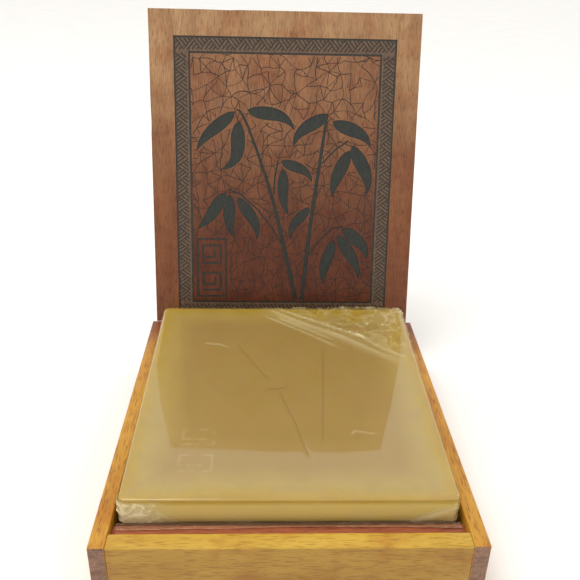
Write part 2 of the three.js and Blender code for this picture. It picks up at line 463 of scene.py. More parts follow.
def bow(start, end, sag, steps, late=0.0):
    """Points on a shallow arc from start to end. sag is its rise as a share of its length, and late
    is how far its steepest turn lies towards its end."""
    start, end = Vector(start), Vector(end)
    run = end - start
    across = Vector((-run.y, run.x)) * sag
    shares = [i / steps for i in range(steps + 1)]
    return [start + run * t + across * 4 * t * (1 - t) * (1 + late * (t - 0.5) * 2) for t in shares]


def leaf(base, tip, width, sag):
    """A pointed leaf, widest before its middle and drawn out towards its tip."""
    spine = bow(base, tip, sag, LEAF_STEPS, late=0.9)
    shares = [i / LEAF_STEPS for i in range(LEAF_STEPS)]
    widths = [max(LEAF_POINT, width * sin(pi * share ** 0.72) ** 0.8) for share in shares]
    return ribbon(spine, widths + [LEAF_POINT])


def bar(x0, y0, x1, y1):
    return [Vector((x0, y0)), Vector((x1, y0)), Vector((x1, y1)), Vector((x0, y1))]


def frame_lines(x0, y0, x1, y1, width):
    """Four bars that outline a rectangle."""
    return [
        bar(x0, y0, x1, y0 + width),
        bar(x0, y1 - width, x1, y1),
        bar(x0, y0 + width, x0 + width, y1 - width),
        bar(x1 - width, y0 + width, x1, y1 - width),
    ]


# The lid's drawing: two canes of bamboo, each with sprays of leaves, in a zigzag border.
BORDER_HALF = 38.2
BORDER_BAND = 5.0
BORDER_FOOT = 2.4  # from the lid's hinged edge
BORDER_HEAD = 8.5  # from its far edge
BORDER_LINE = 0.65
ZIGZAG = 5.6  # length of one zigzag
HATCH_LINE = 0.42
HATCH_COUNT = 3  # lines in each of its triangles
MARK_SIZE = (11, 22)
MARK_LINE = 0.75
MARK_REACH = 3.2  # half the width of one spiral
MARK_SHIFT = (1.2, 1.4)  # from the border's inner corner
MARK_MARGIN = 0.6  # plain ground round the mark
CRACKLE_STEP = (3.2, 3.8)
CRACKLE_WIDTH = (0.16, 0.3)
CRACKLE_SAG = 0.12
CRACKLE_GAPS = 0.28  # the share of the cracks that is left out
CRACKLE_SEED = 11
TWIG_WIDTH = 0.5
LEAF_STEPS = 14
LEAF_POINT = 0.12  # the width of a leaf's ends
LEAF_HALO = 1.5  # how much wider the plain ground round a leaf is

CANES = [  # the line, and its width at the top and at the foot
    ([(-15.4, 76), (-12.8, 71), (-9.4, 62), (-5.6, 51), (-2.4, 40), (0.6, 27), (3, 17), (4.8, 8.6)],
     (0.7, 1.6)),
    ([(14.6, 74), (13.2, 63), (11.6, 51), (10, 39), (8.6, 25), (7.2, 8.6)], (1.0, 1.5)),
]
TWIGS = [
    [(-19.6, 49), (-15.4, 47.4), (-9.4, 42), (-4.6, 36), (-0.6, 29.6)],
    [(-2.2, 59.4), (-3.2, 54), (-3.6, 47.4)],
    [(13.4, 58.6), (18, 63.4), (22.6, 66.6)],
    [(9.2, 25.4), (13.6, 31.4), (18, 35.6), (21.2, 36)],
    [(-15.2, 76), (-16.8, 76.6)],
]
LEAVES = [  # base, tip, width, bow
    ((-17.4, 76), (-30.8, 62.6), 4.4, -0.05), ((-15.8, 72.8), (-22.4, 56), 5.0, 0.16),
    ((-13, 76.6), (3.4, 70), 4.6, 0.12), ((15.2, 75.6), (3.2, 64.4), 4.6, -0.1),
    ((16.8, 73), (30.6, 64.2), 4.8, 0.1), ((23, 63.2), (17.4, 46.6), 4.7, -0.05),
    ((24, 65), (29.6, 47.6), 4.9, 0.09), ((-20.6, 48), (-31, 34.8), 4.5, 0.04),
    ((-19.4, 47.2), (-17.8, 31.6), 4.3, -0.06), ((-16.2, 46.2), (-9.6, 31), 4.3, 0.09),
    ((-0.4, 56.6), (1.8, 40), 3.9, -0.06), ((-1, 59.2), (10, 52), 3.8, 0.11),
    ((9.2, 43), (2.6, 31.2), 3.6, -0.1), ((18.2, 31), (15.2, 14.2), 4.4, -0.06),
    ((19.8, 33), (28, 17), 4.4, 0.05), ((21.6, 35.6), (30.6, 24.2), 4.8, 0.1),
]


def zigzag_band(start, end, inward):
    """A zigzag along one side of the border, its triangles hatched in turn to left and right."""
    start, end, inward = Vector(start), Vector(end), Vector(inward)
    run = end - start
    count = round(run.length / ZIGZAG)
    along = run / count
    depth = inward * (BORDER_BAND - 2 * BORDER_LINE)
    shapes = []

    def at(p, q):
        return start + along * p + depth * q

    def falling(i, gap):
        """A hatch line down between two peaks, cut off at the band's ends."""
        p0, p1 = i + 0.5 + gap, i + 1 + gap / 2
        t0, t1 = max(0.0, -p0 / (p1 - p0)), min(1.0, (count - p0) / (p1 - p0))
        return [at(p0 + t * (p1 - p0), 1 - t * (1 - gap)) for t in (t0, t1)] if t1 - t0 > 0.1 else None

    for i in range(count):
        shapes.append(ribbon([at(i, 0), at(i + 0.5, 1), at(i + 1, 0)], [HATCH_LINE] * 3))
    for k in range(1, HATCH_COUNT + 1):
        gap = k / (HATCH_COUNT + 1)
        lines = [[at(i + gap, 0), at(i + (1 + gap) / 2, 1 - gap)] for i in range(count)]
        lines += [falling(i, gap) for i in range(-1, count)]
        shapes += [ribbon(line, [HATCH_LINE] * 2) for line in lines if line]
    return shapes


def border_shapes(top):
    outer, band, foot = BORDER_HALF, BORDER_BAND, BORDER_FOOT
    inner = outer - band
    shapes = frame_lines(-outer, foot, outer, top, BORDER_LINE)
    shapes += frame_lines(-inner, foot + band, inner, top - band, BORDER_LINE)
    edge = outer - BORDER_LINE
    low, high = foot + BORDER_LINE, top - BORDER_LINE
    shapes += zigzag_band((-edge, high), (edge, high), (0, -1))
    shapes += zigzag_band((-edge, low), (edge, low), (0, 1))
    shapes += zigzag_band((-edge, low + band), (-edge, high - band), (1, 0))
    shapes += zigzag_band((edge, low + band), (edge, high - band), (-1, 0))
    return shapes


def mark_shapes(x, y):
    """A small panel of two square spirals, one above the other, from its lower left corner."""
    width, height = MARK_SIZE
    shapes = frame_lines(x, y, x + width, y + height, MARK_LINE)
    turns = [(-1, -1), (1, -1), (1, 1), (-1, 1), (-1, -0.35), (0.35, -0.35), (0.35, 0.35)]
    for share in (0.27, 0.73):
        cx, cy = x + width / 2, y + height * share
        spiral = [Vector((cx + MARK_REACH * u, cy + MARK_REACH * v)) for u, v in turns]
        for a, b in zip(spiral, spiral[1:]):
            lengthen = (b - a).normalized() * MARK_LINE / 2
            shapes.append(ribbon([a - lengthen, b + lengthen], [MARK_LINE] * 2))
    return shapes


def crackle_shapes(half, low, high, draw):
    """Fine cracks between scattered points, as in old glaze."""
    step_x, step_y = CRACKLE_STEP
    points = []
    y = low
    while y < high + step_y:
        x = -half - step_x / 2
        while x < half + step_x:
            shift_x, shift_y = draw.uniform(-0.5, 0.5) * step_x, draw.uniform(-0.5, 0.5) * step_y
            points.append(Vector((x + shift_x, y + shift_y)))
            x += step_x
        y += step_y
    _, edges, *_ = geometry.delaunay_2d_cdt(points, [], [], 0, 1e-4)
    shapes = []
    for a, b in edges:
        sag = draw.uniform(-CRACKLE_SAG, CRACKLE_SAG)
        chance = draw.random()
        width = draw.uniform(*CRACKLE_WIDTH)
        if chance < CRACKLE_GAPS:
            continue
        line = bow(points[a], points[b], sag, 5)
        inside = [p for p in line if abs(p.x) < half and low < p.y < high]
        if len(inside) > 1:
            shapes.append(ribbon(inside, [width] * len(inside)))
    return shapes


def lid_regions(length):
    """The engraved outlines, each with its kind and rank. The highest rank that covers a spot wins."""
    draw = random.Random(CRACKLE_SEED)
    top = length - BORDER_HEAD
    inner = BORDER_HALF - BORDER_BAND - BORDER_LINE
    low, high = BORDER_FOOT + BORDER_BAND + BORDER_LINE, top - BORDER_BAND - BORDER_LINE
    canes = [ribbon(points, [a + (b - a) * i / (len(points) - 1) for i in range(len(points))])
             for points, (a, b) in CANES]
    twigs = [ribbon(points, [TWIG_WIDTH] * len(points)) for points in TWIGS]
    leaves = [leaf(*values) for values in LEAVES]
    halos = [leaf(base, tip, width + LEAF_HALO, sag) for base, tip, width, sag in LEAVES]
    x, y = MARK_SHIFT[0] - inner, MARK_SHIFT[1] + low
    mark_ground = bar(x - MARK_MARGIN, y - MARK_MARGIN,
                      x + MARK_SIZE[0] + MARK_MARGIN, y + MARK_SIZE[1] + MARK_MARGIN)
    regions = [(bar(-BORDER_HALF, BORDER_FOOT, BORDER_HALF, top), "ground", 1)]
    bands = frame_lines(-BORDER_HALF, BORDER_FOOT, BORDER_HALF, top, BORDER_BAND)
    regions += [(shape, "band", 2) for shape in bands]
    regions += [(shape, "crackle", 2) for shape in crackle_shapes(inner, low, high, draw)]
    regions += [(shape, "ground", 3) for shape in halos + [mark_ground]]
    regions += [(shape, "border", 4) for shape in border_shapes(top) + mark_shapes(x, y)]
    regions += [(shape, "spray", 5) for shape in canes + twigs + leaves]
    return regions


def etched_mesh(outline, regions):
    """A flat face, cut along every outline, with the engraved parts sunk below it."""
    points, faces = list(outline), [list(range(len(outline)))]
    for shape, _, _ in regions:
        faces.append(list(range(len(points), len(points) + len(shape))))
        points.extend(shape)
    spots, _, cells, _, _, owners = geometry.delaunay_2d_cdt(points, [], faces, 1, 1e-4, True)
    bm = bmesh.new()
    made = {}

    def vertex(spot, kind):
        key = (spot, ETCH[kind])
        if key not in made:
            made[key] = bm.verts.new((*(spots[spot] * MM), ETCH[kind] * MM))
        return made[key]

    sides = {}
    for cell, owner in zip(cells, owners):
        best = max((regions[o - 1][2], regions[o - 1][1]) for o in owner if o) if any(owner) else (0, "bare")
        kind = best[1]
        face = bm.faces.new([vertex(spot, kind) for spot in cell])
        face.material_index = ETCH_ORDER.index(kind)
        for i, spot in enumerate(cell):
            following = cell[(i + 1) % len(cell)]
            sides.setdefault(frozenset((spot, following)), []).append((spot, following, kind))
    for uses in sides.values():
        if len(uses) == 2 and ETCH[uses[0][2]] != ETCH[uses[1][2]]:
            upper, lower = sorted(uses, key=lambda use: -ETCH[use[2]])
            a, b = upper[0], upper[1]
            wall = bm.faces.new(
                [vertex(b, upper[2]), vertex(a, upper[2]), vertex(a, lower[2]), vertex(b, lower[2])])
            wall.material_index = ETCH_ORDER.index(lower[2])
    return bm


def add_lid_sides(bm, half, low, high, width, length, thickness):
    """The lid's sides and back, grown from the rim of its face, with rounded, worn and chipped edges."""
    ring = [edge for edge in bm.edges if edge.is_boundary]
    rim = [vertex.co.xy / MM for vertex in dict.fromkeys(v for edge in ring for v in edge.verts)]
    chips = [(Vector((-21, length)), 2.42), (Vector((-width / 2, 72)), 1.98), (Vector((width / 2, 20)), 1.54)]
    deep = thickness / LID_EASE
    profile = [(0.7, 0.1), (0.93, 0.4), (1.0, 1.0), (1.0, deep - 1), (0.93, deep - 0.4), (0.7, deep - 0.1),
               (0.0, deep)]
    for out, down in profile:
        ring, moved = grow(bm, ring)
        for vertex in moved:
            spot = vertex.co.xy / MM
            x, y = min(rim, key=lambda place: (place - spot).length)
            wear = LID_WEAR * max(0, noise.noise(Vector((x * 0.4, y * 0.4, down))))
            for chip, reach in chips:
                wear += CHIP_DEPTH * max(0.0, 1 - (chip - Vector((x, y))).length / reach)
            shift = out * LID_EASE - min(wear, LID_EASE * 1.4)
            if abs(abs(x) - half) < 1e-4:
                x += copysign(shift, x)
            if y < low + 1e-4:
                y -= shift
            elif y > high - 1e-4:
                y += shift
            vertex.co = Vector((x, y, -down * LID_EASE)) * MM
    bmesh.ops.contextual_create(bm, geom=ring)
    bmesh.ops.recalc_face_normals(bm, faces=bm.faces)


def lid_finishes():
    """The materials of the kinds of ground, in their order, and then that of the lid's cut ends."""
    # both woods darken towards the hinged edge: painted shade where the box shades the foot of the lid
    face = wood("lid_wood", (130, 92, 60), (158, 120, 82), (180, 144, 104), grain=Y, gloss=0.42,
                coat=0.1, blotch=(230, 196, 180), painted_shade=(Y, 34, 106, (194, 154, 132)))
    ground = wood("lid_panel_wood", (108, 72, 48), (138, 96, 64), (162, 118, 82), grain=Y,
                  gloss=0.45, coat=0.08, blotch=(222, 184, 170), painted_shade=(Y, 24, 96, (174, 132, 114)))
    return [
        face,
        ground,
        burnt("crackle_lines", (40, 22, 14), (66, 38, 26)),
        burnt("border_band", (74, 56, 42), (106, 82, 60)),
        burnt("border_lines", (30, 28, 22), (52, 46, 36)),
        burnt("spray_tint", (18, 24, 20), (38, 42, 34)),
        end_grain("lid_end_grain", (90, 56, 38), (140, 98, 66)),
    ]


def build_lid():
    place, width, length, thickness = lid_frame()
    half = width / 2 - LID_EASE
    low, high = LID_EASE, length - LID_EASE
    corners = bar(-half, low, half, high)
    outline = []
    for a, b in zip(corners, corners[1:] + corners[:1]):
        outline += [a.lerp(b, i / LID_SIDE_STEPS) for i in range(LID_SIDE_STEPS)]
    bm = etched_mesh(outline, lid_regions(length))
    add_lid_sides(bm, half, low, high, width, length, thickness)
    for face in bm.faces:
        if face.material_index == 0 and abs(face.normal.y) > 0.8:
            face.material_index = len(ETCH_ORDER)
    return add_piece("etched_lid", bm, lid_finishes(), "lid", "lid_panel", place)


# ---------------- the cake and its film
def slab_frame(node):
    """A slab node's own tilted frame and its size in metres. The frame's origin is the middle of
    the slab's lower front edge."""
    mesh = frame["nodes"][node].data
    top = max((p for p in mesh.polygons if p.normal.z > 0.9), key=lambda p: p.area)
    tilt = Matrix.Rotation(atan2(-top.normal.y, top.normal.z), 4, "X")
    corners = [tilt.inverted() @ vertex.co for vertex in mesh.vertices]
    low, high = (Vector(pick(c[i] for c in corners) for i in range(3)) for pick in (min, max))
    return tilt @ Matrix.Translation(((low.x + high.x) / 2, low.y, low.z)), high - low


def skin(bm, width, length, height, inset, step, rings):
    """The skin of a slab that starts at y = 0: a grid on top, inset from the slab's outline, and
    rings around it. A ring is its reach out from the grid's edge, its height and, under the slab,
    its reach in from the slab's outline. The last ring's vertices are returned in order."""
    half = width / 2 - inset
    columns, rows = round(2 * half / step), round((length - 2 * inset) / step)
    grid = [[bm.verts.new(Vector((half * (2 * i / columns - 1), inset + (length - 2 * inset) * j / rows,
                                  height)) * MM) for j in range(rows + 1)] for i in range(columns + 1)]
    grid_faces(bm, grid)
    sides = [
        ([grid[i][0] for i in range(columns + 1)], -90),
        ([grid[columns][j] for j in range(rows + 1)], 0),
        ([grid[i][rows] for i in range(columns, -1, -1)], 90),
        ([grid[0][j] for j in range(rows, -1, -1)], 180),
    ]
    rim = []
    for line, angle in sides:
        rim += [(vertex, angle) for vertex in line]
        rim += [(line[-1], angle + turn) for turn in (22.5, 45, 67.5)]
    ring = [vertex for vertex, _ in rim]
    middle = Vector((0, length / 2))
    for out, level, under in rings:
        made = []
        for vertex, angle in rim:
            direction = Vector((cos(radians(angle)), sin(radians(angle))))
            spot = vertex.co.xy / MM + direction * out - middle
            spot = Vector((spot.x * (1 - 2 * under / width), spot.y * (1 - 2 * under / length))) + middle
            made.append(bm.verts.new(Vector((spot.x, spot.y, level)) * MM))
        for k in range(len(rim)):
            n = (k + 1) % len(rim)
            corners = [ring[k], made[k], made[n], ring[n]]
            bm.faces.new(list(dict.fromkeys(corners)))
        ring = made
    return ring


def rounded_rings(height, inset, edge, step):
    """Rings from a slab's top, over its rounded edge and down its side to its underside."""
    quarter = [i / 4 * pi / 2 for i in range(5)]
    top = [(inset - edge + edge * sin(a), height - edge + edge * cos(a), 0) for a in quarter]
    count = max(1, round((height - 2 * edge) / step))
    side = [(inset, height - edge - (height - 2 * edge) * i / count, 0) for i in range(1, count + 1)]
    bottom = [(inset - edge + edge * cos(a), edge - edge * sin(a), 0) for a in quarter[1:]]
    return top + side + bottom


def away(point, line):
    """The distance in the plane from a point to a line of points, and the share along it."""
    best, where, run = 1e9, 0.0, 0.0
    total = sum((Vector(b) - Vector(a)).length for a, b in zip(line, line[1:]))
    for a, b in zip(line, line[1:]):
        a, b = Vector(a), Vector(b)
        t = max(0.0, min(1.0, (point - a).dot(b - a) / (b - a).length_squared))
        gap = (point - a.lerp(b, t)).length
        if gap < best:
            best, where = gap, (run + t * (b - a).length) / total
        run += (b - a).length
    return best, where


def soft(value, start, end):
    """0 before start and 1 after end, smoothly between them. It also runs backwards."""
    t = max(0.0, min(1.0, (value - start) / (end - start)))
    return t * t * (3 - 2 * t)


def dish(spot, width, length, height):
    """How far the poured top sags at a place on it. Its edges stand level."""
    on_top = soft(spot.z, height - 1.0, height - 0.2)
    across = 1 - min(1.0, abs(2 * spot.x / width)) ** 4
    return DISH * on_top * across * sin(pi * max(0.0, min(1.0, spot.y / length)))


def store(bm, name, values):
    layer = bm.verts.layers.float.new(name)
    for vertex, value in zip(bm.verts, values):
        vertex[layer] = value


# Places on the cake are from the middle of its front edge: x to the right, y to the rear.
SCRATCHES = [  # dark hairlines in the rosin: the line and its half-width
    ([(-16.4, 70.4), (-10, 58.6), (-4.2, 47.4)], 0.4),
    ([(-2.4, 44.4), (2, 30), (5.6, 14)], 0.42),
    ([(12.8, 69), (11.2, 48), (9, 17.6)], 0.42),
    ([(-6.4, 43.6), (-4.6, 45.2), (-2.6, 44.6), (0.6, 46.4)], 0.6),
]
SCUFFS = [(-24, 13), (-24, 23.2)]  # the middles of two faint square spirals
SCUFF_HALF = (4.2, 3.0)
FOLD_NORMAL = (0.63, 0.777)  # across the film's long fold, towards the loose corner behind it
FOLD_Y = 91  # where the fold crosses x = 0
DISH = 0.6  # how far the middle of the top sags
CAKE_EDGE = 0.5
CAKE_CORNER = 1.6
CAKE_STEP = 0.42
AMBER_DEPTH = 12  # how far in from its edges the rosin looks clearer
SWELL = 0.05


def scuff_lines():
    turns = [(-1, -1), (1, -1), (1, 1), (-1, 1), (-1, -0.3), (0.4, -0.3)]
    return [[(x + SCUFF_HALF[0] * u, y + SCUFF_HALF[1] * v) for u, v in turns] for x, y in SCUFFS]


def past_fold(spot):
    """How far a place lies behind the film's long fold."""
    return spot.x * FOLD_NORMAL[0] + (spot.y - FOLD_Y) * FOLD_NORMAL[1]


def marks_at(spot, scuffs):
    """How strongly a scratch and a scuff mark a place on the cake's top."""
    dark = light = 0.0
    for line, reach in SCRATCHES:
        gap, along = away(spot.xy, line)
        taper = soft(along, 0, 0.12) * soft(along, 1, 0.85)
        dark = max(dark, soft(gap, reach, 0.1) * taper)
    if abs(spot.x - SCUFFS[0][0]) < 9 and spot.y < 40:
        for line in scuffs:
            light = max(light, soft(away(spot.xy, line)[0], 0.5, 0.1))
    return dark, light * soft(noise.noise(spot * 0.5), -0.3, 0.3)


def build_cake():
    place, size = slab_frame("rosin_cake")
    width, length, height = size / MM
    bm = bmesh.new()
    rings = rounded_rings(height, CAKE_CORNER, CAKE_EDGE, 0.8)
    last = skin(bm, width, length, height, CAKE_CORNER, CAKE_STEP, rings)
    bm.faces.new(last[::-1])
    bm.normal_update()
    looks = {"inward": [], "sidelight": [], "scratch": [], "scuff": []}
    scuffs = scuff_lines()
    for vertex in bm.verts:
        spot = vertex.co / MM
        side = min(width / 2 - abs(spot.x), spot.y, length - spot.y)
        to_edge = max(side, min(height - spot.z, spot.z)) if side < CAKE_CORNER else side
        uneven = noise.noise(Vector((spot.x * 0.11, spot.y * 0.11, 3)))
        patch = soft(noise.noise(Vector((spot.x * 0.16, spot.y * 0.16, 8))), -0.05, 0.3)
        amber = 7 * patch * soft(past_fold(spot), 0, 8) * soft(spot.y, 56, 70)
        dark, light = marks_at(spot, scuffs) if spot.z > height - 0.1 else (0.0, 0.0)
        looks["inward"].append(max(0.0, min(1.0, (to_edge + 1.6 * uneven - amber) / AMBER_DEPTH)))
        looks["sidelight"].append(0.75 * soft(spot.z, height - 0.6, height - 2.2) * soft(spot.z, -1.0, 3.2))
        looks["scratch"].append(dark * 0.5)
        looks["scuff"].append(light * 0.16)
        swell = SWELL * noise.noise(Vector((spot.x * 0.05, spot.y * 0.05, spot.z * 0.2)))
        vertex.co += vertex.normal * (min(swell, 0.0) - 0.05 * dark) * MM
        vertex.co.z -= dish(spot, width, length, height) * MM
    for name, values in looks.items():
        store(bm, name, values)
    return add_piece("cake_of_rosin", bm, [rosin_finish()], "cake", "rosin_cake", place)


FILM_STEP = 0.5
FILM_CORNER = 1.95
FILM_EDGE = 0.85
FILM_SEED = 5  # of its creases
FOLD_IN = 11  # how far it reaches in under the cake
FILM_LIMITS = [  # how far it may stand off: to the front, rear, right, left, up and down
    ((0, -1, 0), 0.2), ((0, 1, 0), 0.16), ((1, 0, 0), 0.8),
    ((-1, 0, 0), 0.8), ((0, 0, 1), 1.1), ((0, 0, -1), 0.03),
]
RIDGES = [  # drawn-up folds: the line, height and half-width
    ([(-6.6, 85.6), (6, 76), (21.4, 63.6)], 0.45, 0.75),
    ([(-6.4, 90.6), (4.6, 82), (18.5, 73), (41, 54)], 0.75, 2.1),
    ([(-3, 91), (12, 81.4), (31, 69.4)], 0.45, 0.75),
    ([(-2, 84.4), (9, 76.4), (18, 69.4)], 0.3, 0.7),
    ([(22, 77), (31, 66.4), (40, 59)], 0.2, 0.8),
    ([(-25.8, 68.6), (-20.8, 68), (-16.8, 65.6)], 0.34, 0.42),
    ([(17.2, 23.6), (18.2, 25.6), (21.8, 24.6), (25.4, 24.4)], 0.3, 0.4),
]
GLINTS = [  # small creases, lifted, each with a painted highlight: x, y and reach
    (22.4, 86.6, 0.7), (28.4, 80.4, 0.8), (33.4, 80, 0.9), (30, 86, 0.5), (35.2, 72, 0.6),
]


def folds_at(flat, ripple):
    """How far the drawn-up folds and glints lift the film's top at a place, and their haze. At the glints the
    haze is a painted highlight.
    """
    lift = haze = 0.0
    for line, rise, reach in RIDGES:
        gap, along = away(flat, line)
        if gap < reach * 2.5:
            taper = soft(along, 1.0, 0.72) * soft(along, -0.05, 0.1)
            peak = soft(gap, reach, 0) * taper
            lift += rise * peak
            haze += 0.24 * peak * (0.5 + 0.5 * ripple) + 0.1 * soft(gap, reach * 2.5, 0) * taper
    for x, y, reach in GLINTS:
        near = soft((flat - Vector((x, y))).length, reach, 0)
        lift += 0.3 * near
        # the glint's painted highlight
        haze += 0.45 * near
    return lift, haze


def crumple(spot):
    """Large and small creases, each from 0 to 1, of film that is loose."""
    stretched = Vector((spot.x * 0.16, spot.y * 0.16, spot.z * 0.22))
    large, _ = noise.voronoi(stretched + noise.noise_vector(stretched * 1.7) * 0.5)
    small, _ = noise.voronoi(stretched * 2.6 + noise.noise_vector(stretched * 3) * 0.4)
    return soft(large[1] - large[0], 0.16, 0), soft(small[1] - small[0], 0.2, 0)


def film_lift(spot, width, height):
    """How far the film stands off at a place on its wrapped shape, and how milky it is there."""
    on_top = soft(spot.z, height - 1.2, height - 0.4)
    ripple = 0.5 + 0.5 * noise.noise(Vector((spot.x * 0.12, spot.y * 0.12, spot.z * 0.2)))
    lift, haze = 0.05 * ripple, 0.035 + 0.05 * ripple
    if on_top > 0:
        rise, milk = folds_at(spot.xy, ripple)
        lift += rise * on_top
        haze += milk * on_top
    corner = soft(past_fold(spot), -4, 5) * soft(spot.y, 52, 66) * on_top
    front = soft(spot.y, 1.6, 0.6)
    front_left = soft(spot.x, -26, -38) * soft(spot.y, 5, 1.5) * soft(spot.z, height - 0.4, height - 1.6)
    front_right = soft(spot.x, 31, 38) * soft(spot.y, 4, 1) * soft(spot.z, 4.4, 1)
    side = soft(abs(spot.x), width / 2 - 1.5, width / 2 - 0.6) * soft(spot.z, height, height - 3)
    loose = max(corner, front_left, 0.6 * front_right, 0.35 * side)
    if loose > 0.01:
        crease, small = crumple(spot)
        lift += loose * (0.36 * crease + 0.16 * small + 0.2 * ripple)
        haze += loose * (0.17 * crease + 0.1 * small) + front_left * (0.24 * crease + 0.06 * small)
    # milky patches: the right rear corner, the front's ends and its length, and two lines down it. At the
    # front's right end the haze is also a painted sheen, and the diagonal line there a painted highlight on a
    # crinkle
    haze += 0.34 * ripple * soft(spot.x, 27, 39) * soft(spot.y, 66, 80)
    # the front's left end: milky film; its right end: painted sheen
    haze += 0.32 * front_left + 0.2 * front_right * ripple
    haze += (0.06 + 0.2 * front * ripple) * soft(spot.z, height - 0.3, height - 1.8)
    # a diagonal crinkle down the front's right end: milky film with a painted highlight
    haze += 0.3 * soft(abs(spot.z - 0.42 * (spot.x - 28)), 2.0, 0.1) * soft(spot.x, 27, 33) * front
    haze += 0.2 * soft(abs(spot.x + 32.1), 0.3, 0.05) * soft(spot.y, 2, 0.5) * soft(spot.z, 2.6, 4.4)
    # the rear edge stands up to the right of its middle
    lift += 0.8 * soft(abs(spot.x - 26), 15, 6) * soft(spot.y, 86, 91.2) * on_top * ripple
    return lift, min(0.93, haze)


def build_film(cake):
    place, size = slab_frame("film_wrap")
    width, length, height = size / MM
    bm = bmesh.new()
    rings = rounded_rings(height, FILM_CORNER, FILM_EDGE, 0.5)
    rings += [(FILM_CORNER - FILM_EDGE, 0.0, reach) for reach in (2, 4, 6, 8, FOLD_IN - FILM_EDGE)]
    skin(bm, width, length, height, FILM_CORNER, FILM_STEP, rings)
    bm.normal_update()
    noise.seed_set(FILM_SEED)
    hazes = []
    for vertex in bm.verts:
        spot = vertex.co / MM
        lift, haze = film_lift(spot, width, height)
        most = min((reach / share for direction, reach in FILM_LIMITS
                    if (share := vertex.normal.dot(Vector(direction))) > 0.05))
        vertex.co += vertex.normal * min(lift, most) * MM
        vertex.co.z -= dish(spot, width, length, height) * MM
        hazes.append(haze)
    store(bm, "haze", hazes)
    clear = film_finish("clear_film", (222, 202, 134), (242, 232, 190))
    film = add_piece("wrapping_film", bm, [clear], "cake", "film_wrap", place)
    flap = build_flap()


FLAP_EDGE = [(-42.3, -45.6), (-20, -45.2), (4, -44.7), (24, -44.85), (42.3, -45.2)]  # its front
FLAP_STEPS = (150, 14)  # across and from front to rear
FLAP_LIFT = 0.16  # how far it lies off the ledge
FLAP_TUCK = 0.2  # how far it reaches in under the cake


def build_flap():
    """The film's loose front edge, which lies forward on the ledge from under the cake."""
    _, ledge_high = (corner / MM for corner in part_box("front_ledge"))
    film_low, _ = (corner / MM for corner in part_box("film_wrap"))
    rear = film_low.y + FLAP_TUCK
    columns, rows = FLAP_STEPS
    bm = bmesh.new()
    grid, hazes = [], []
    for i in range(columns + 1):
        x = FLAP_EDGE[0][0] + (FLAP_EDGE[-1][0] - FLAP_EDGE[0][0]) * i / columns
        a, b = next(pair for pair in zip(FLAP_EDGE, FLAP_EDGE[1:]) if x <= pair[1][0] + 1e-6)
        front = a[1] + (b[1] - a[1]) * soft(x, a[0], b[0])
        column = []
        for share in (j / rows for j in range(rows + 1)):
            y = front + (rear - front) * share
            buckle = abs(noise.noise(Vector((x * 0.35, y * 1.3, 5)))) * soft(y, -43.5, -44)
            rise = FLAP_LIFT + 0.22 * buckle + 0.16 * soft(share, 0.12, 0)
            column.append(bm.verts.new(Vector((x, y, ledge_high.z + rise)) * MM))
            # the haze: milky film, a painted highlight along the front edge and painted glints in dashes
            glint = abs(noise.noise(Vector((x * 0.8, y * 3, 9))))
            hazes.append(0.5 * soft(share, 0.2, 0.04) + 0.22 + 0.2 * soft(glint, 0.3, 0.6))
        grid.append(column)
    grid_faces(bm, grid)
    store(bm, "haze", hazes)
    mesh = to_mesh("film_flap", bm)
    mesh.shade_smooth()
    mesh.materials.append(film_finish("film_on_ledge", (178, 128, 97), (238, 204, 166)))
    flap = add_object("film_flap", mesh)
    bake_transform(flap)
    return flap


# ---------------- the hinges
# Each hinge has a frame of its own: its origin is the middle of the pin and X runs along the pin.
LEAF_HALF = 7.0
LEAF_REACH = 6.9
LEAF_BACK = -1.2  # the face that lies on the wood
LEAF_FRONT = -0.6
LEAF_CORNER = 0.7
LEAF_EDGE = 0.12
KNUCKLE_RADIUS = 1.2
KNUCKLE_BORE = 0.6
KNUCKLE_EDGE = 0.14
PIN_RADIUS = 0.52
PIN_DOME = 0.12
OUTER_KNUCKLE = 2.6  # where each outer knuckle starts
MIDDLE_KNUCKLE = 2.3  # where the middle knuckle ends
NOTCH = 1.5
SCREW_PLACES = (-4.5, 4.5)
SCREW_REACH = 5.45
SCREW_HEAD = 1.0
SCREW_HEIGHT = 0.45
SCREW_STEPS = 16  # across its head, along the slot
SCREW_LIFT = 0.02  # its head stands just off the leaf
SCREW_SEED = 4
SLOT_WIDTH = 0.26
SLOT_DEPTH = 0.24
SHANK = 3.7
SHANK_RADIUS = 0.42
SHANK_POINT = 0.9


def turned(bm, profile, sides=40):
    """A closed profile of (distance along X, radius) points, turned about X. A radius of 0 closes it."""
    rings = []
    for along, radius in profile:
        angles = [2 * pi * k / sides for k in range(sides)] if radius else [0.0]
        rings.append([bm.verts.new(Vector((along, radius * cos(a), radius * sin(a))) * MM)
                      for a in angles])
    for first, second in zip(rings, rings[1:]):
        for k in range(sides):
            n = (k + 1) % sides
            corners = [first[k % len(first)], second[k % len(second)],
                       second[n % len(second)], first[n % len(first)]]
            bm.faces.new(list(dict.fromkeys(corners)))


def knuckle(bm, start, end):
    bore, radius, edge = KNUCKLE_BORE, KNUCKLE_RADIUS, KNUCKLE_EDGE
    turned(bm, [(start, bore), (start, radius - edge), (start + edge, radius), (end - edge, radius),
                (end, radius - edge), (end, bore), (start, bore)])


